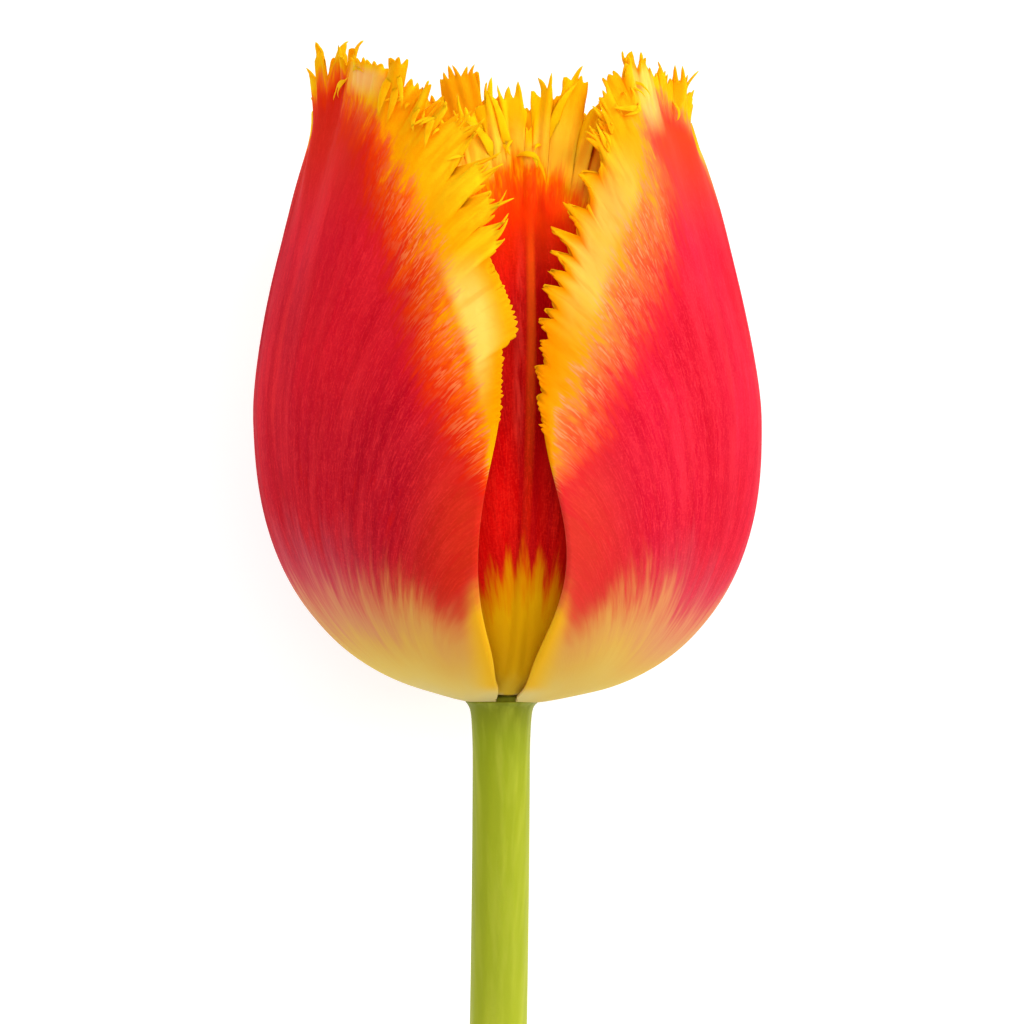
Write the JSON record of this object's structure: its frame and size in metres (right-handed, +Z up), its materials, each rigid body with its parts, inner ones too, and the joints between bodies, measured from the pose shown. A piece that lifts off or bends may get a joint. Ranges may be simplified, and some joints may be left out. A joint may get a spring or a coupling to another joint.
{
  "type": "fringed tulip",
  "caption": "Cut tulip lying on its side: a cupped bloom of overlapping tepals with fringed edges around a pistil and stamens, on a bare rounded stem.",
  "frame": {"origin": "the middle of the flat spot under the belly of the lowest tepal, where the bloom rests on the surface", "axes": "+Y along the flower from the stem's cut end to the bloom's mouth, +Z up off the surface, +X to the flower's right seen from above with the mouth away from the viewer"},
  "size_m": [0.0558, 0.2223, 0.0557],
  "materials": {
    "stem_green": "smooth waxy plant skin, satin",
    "outer_tepal": "silky petal, crimson with a yellow fringed margin and a cream base",
    "inner_tepal": "silky petal, orange-red with a yellow fringed margin and a golden base",
    "ovary_green": "smooth pale plant flesh, satin",
    "stigma_cream": "matt, finely papillose",
    "filament_yellow": "smooth plant flesh, satin",
    "anther_dark": "matt, dusty with pollen"
  },
  "bodies": {
    "root": {"stem": "stem_green", "outer_tepal_left": "outer_tepal", "outer_tepal_right": "outer_tepal", "outer_tepal_back": "outer_tepal", "inner_tepal_front": "inner_tepal", "inner_tepal_left": "inner_tepal", "inner_tepal_right": "inner_tepal", "ovary": "ovary_green", "stigma": "stigma_cream", "filament_1": "filament_yellow", "filament_2": "filament_yellow", "filament_3": "filament_yellow", "filament_4": "filament_yellow", "filament_5": "filament_yellow", "filament_6": "filament_yellow", "anther_1": "anther_dark", "anther_2": "anther_dark", "anther_3": "anther_dark", "anther_4": "anther_dark", "anther_5": "anther_dark", "anther_6": "anther_dark"}
  },
  "joints": []
}
